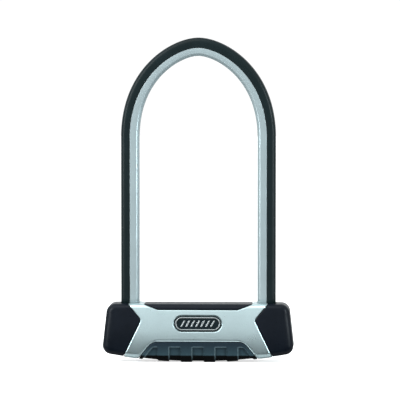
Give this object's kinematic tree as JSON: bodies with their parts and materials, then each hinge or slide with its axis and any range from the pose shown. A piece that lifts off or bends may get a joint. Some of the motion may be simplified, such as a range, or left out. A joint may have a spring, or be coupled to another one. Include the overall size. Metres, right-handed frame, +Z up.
{
  "type": "bicycle u lock",
  "caption": "U lock: arched square shackle in a two-coloured sheath, plugged into a ribbed crossbar with a disc cylinder and a bolt for each leg.",
  "frame": {"origin": "on the surface that the lock stands on, below the middle of the crossbar", "axes": "+Z up from the crossbar to the shackle's crown, +X along the crossbar to the right as seen from the badge's side, -Y out of the badge"},
  "size_m": [0.1776, 0.0388, 0.3015],
  "materials": {
    "silver_cover": "satin metallic silver paint on moulded plastic",
    "silver_sheath": "smooth silver-grey vinyl",
    "black_sheath": "smooth black vinyl with a soft sheen",
    "black_cover": "finely textured moulded black plastic",
    "grip": "soft-touch black plastic, ribbed",
    "badge": "gloss black with satin raised bars",
    "badge_rim": "bright plated ring",
    "seal_rubber": "matt black rubber",
    "case_steel": "black phosphated hardened steel",
    "cast_socket": "as-cast, lightly blasted",
    "hardened_steel": "ground and hardened, grey zinc phosphate",
    "shutter_steel": "brushed stainless steel",
    "spring_steel": "drawn stainless wire",
    "brass": "turned brass"
  },
  "bodies": {
    "lock_body": {"front_cover": "silver_cover", "back_cover": "silver_cover", "top_trim": "black_cover", "bottom_grip": "grip", "badge_plate": "badge", "badge_rim": "badge_rim", "lock_case": "case_steel", "end_cap_left": "black_cover", "case_end_plate_left": "case_steel", "leg_socket_left": "cast_socket", "leg_seal_left": "seal_rubber", "bolt_rail_left": "case_steel", "cylinder_pin_left": "hardened_steel", "end_cap_right": "black_cover", "case_end_plate_right": "case_steel", "leg_socket_right": "cast_socket", "leg_seal_right": "seal_rubber", "bolt_rail_right": "case_steel", "cylinder_pin_right": "hardened_steel", "cylinder_housing": "brass", "shutter_spring": "spring_steel"},
    "shackle": {"shackle_bar": "hardened_steel", "shackle_sheath_outer": "black_sheath", "shackle_sheath_inner": "silver_sheath"},
    "cylinder_core": {"cylinder_plug": "brass", "drill_guard_disc": "hardened_steel", "detainer_disc_1": "brass", "detainer_disc_2": "brass", "detainer_disc_3": "brass", "detainer_disc_4": "brass", "detainer_disc_5": "brass", "detainer_disc_6": "brass", "detainer_disc_7": "brass", "detainer_disc_8": "brass", "disc_spacer_1": "hardened_steel", "disc_spacer_2": "hardened_steel", "disc_spacer_3": "hardened_steel", "disc_spacer_4": "hardened_steel", "disc_spacer_5": "hardened_steel", "disc_spacer_6": "hardened_steel", "disc_spacer_7": "hardened_steel", "sidebar": "hardened_steel", "bolt_cam": "hardened_steel"},
    "left_bolt": {"bolt_left": "hardened_steel", "bolt_pin_left": "hardened_steel"},
    "right_bolt": {"bolt_right": "hardened_steel", "bolt_pin_right": "hardened_steel"},
    "shutter": {"keyhole_shutter": "shutter_steel"}
  },
  "joints": [
    {"name": "shackle_pull", "type": "slide", "parent": "lock_body", "child": "shackle", "axis": [0, 0, 1], "range_m": [0, 0.048]},
    {"name": "plug_turn", "type": "hinge", "parent": "lock_body", "child": "cylinder_core", "pos_m": [0, 0, 0.02], "axis": [0, 0, 1], "range_deg": [0, 91]},
    {"name": "left_bolt_slide", "type": "slide", "parent": "lock_body", "child": "left_bolt", "axis": [-1, 0, 0], "range_m": [0, 0.0042]},
    {"name": "right_bolt_slide", "type": "slide", "parent": "lock_body", "child": "right_bolt", "axis": [1, 0, 0], "range_m": [0, 0.00425]},
    {"name": "shutter_slide", "type": "slide", "parent": "lock_body", "child": "shutter", "axis": [1, 0, 0], "range_m": [0, 0.0085], "stiffness_N_per_m": 60, "springref_m": -0.004, "deforming": ["shutter_spring"]}
  ],
  "couplings": [
    {"joint": "right_bolt_slide", "follows": "left_bolt_slide", "ratio": 1},
    {"joint": "plug_turn", "follows": "left_bolt_slide", "rad_per_m": 374}
  ]
}
